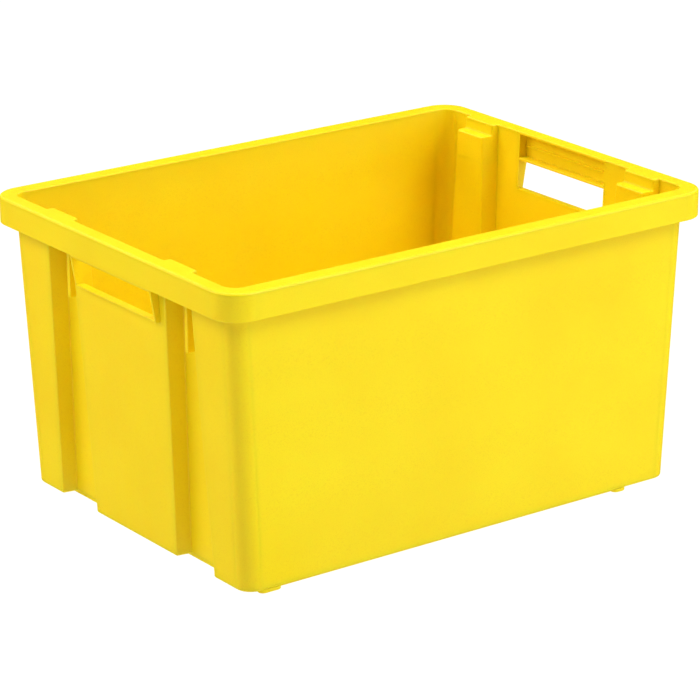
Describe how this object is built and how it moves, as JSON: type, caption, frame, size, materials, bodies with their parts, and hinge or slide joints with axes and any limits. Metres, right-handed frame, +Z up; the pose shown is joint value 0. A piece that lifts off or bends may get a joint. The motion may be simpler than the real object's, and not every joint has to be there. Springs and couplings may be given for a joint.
{
  "type": "stacking crate",
  "caption": "Open tapered plastic crate with a deep skirted rim, end hand-holds and ledged columns: it nests one way round and stacks when turned half round.",
  "frame": {"origin": "centre of the footprint, on the ground under the base ring", "axes": "+X along the long side to the right, +Y to the rear long side, +Z up out of the opening"},
  "size_m": [0.6, 0.44, 0.32],
  "materials": {
    "crate_plastic": "satin yellow polypropylene with a fine moulded texture"
  },
  "bodies": {
    "root": {"floor": "crate_plastic", "base_ring": "crate_plastic", "base_cross_ribs": "crate_plastic", "base_long_ribs": "crate_plastic", "front_wall": "crate_plastic", "front_skirt": "crate_plastic", "front_flange": "crate_plastic", "rear_wall": "crate_plastic", "rear_skirt": "crate_plastic", "rear_flange": "crate_plastic", "left_centre_panel": "crate_plastic", "left_hand_hold": "crate_plastic", "left_grip": "crate_plastic", "left_skirt": "crate_plastic", "left_flange": "crate_plastic", "right_centre_panel": "crate_plastic", "right_hand_hold": "crate_plastic", "right_grip": "crate_plastic", "right_skirt": "crate_plastic", "right_flange": "crate_plastic", "front_left_corner_post": "crate_plastic", "front_left_rim_corner": "crate_plastic", "front_left_foot": "crate_plastic", "front_left_outer_panel": "crate_plastic", "front_left_column": "crate_plastic", "front_left_ledge": "crate_plastic", "front_left_nest_stop": "crate_plastic", "rear_left_corner_post": "crate_plastic", "rear_left_rim_corner": "crate_plastic", "rear_left_foot": "crate_plastic", "rear_left_outer_panel": "crate_plastic", "rear_left_column": "crate_plastic", "rear_left_ledge": "crate_plastic", "rear_left_nest_stop": "crate_plastic", "front_right_corner_post": "crate_plastic", "front_right_rim_corner": "crate_plastic", "front_right_foot": "crate_plastic", "front_right_outer_panel": "crate_plastic", "front_right_column": "crate_plastic", "front_right_ledge": "crate_plastic", "front_right_nest_stop": "crate_plastic", "rear_right_corner_post": "crate_plastic", "rear_right_rim_corner": "crate_plastic", "rear_right_foot": "crate_plastic", "rear_right_outer_panel": "crate_plastic", "rear_right_column": "crate_plastic", "rear_right_ledge": "crate_plastic", "rear_right_nest_stop": "crate_plastic"}
  },
  "joints": []
}
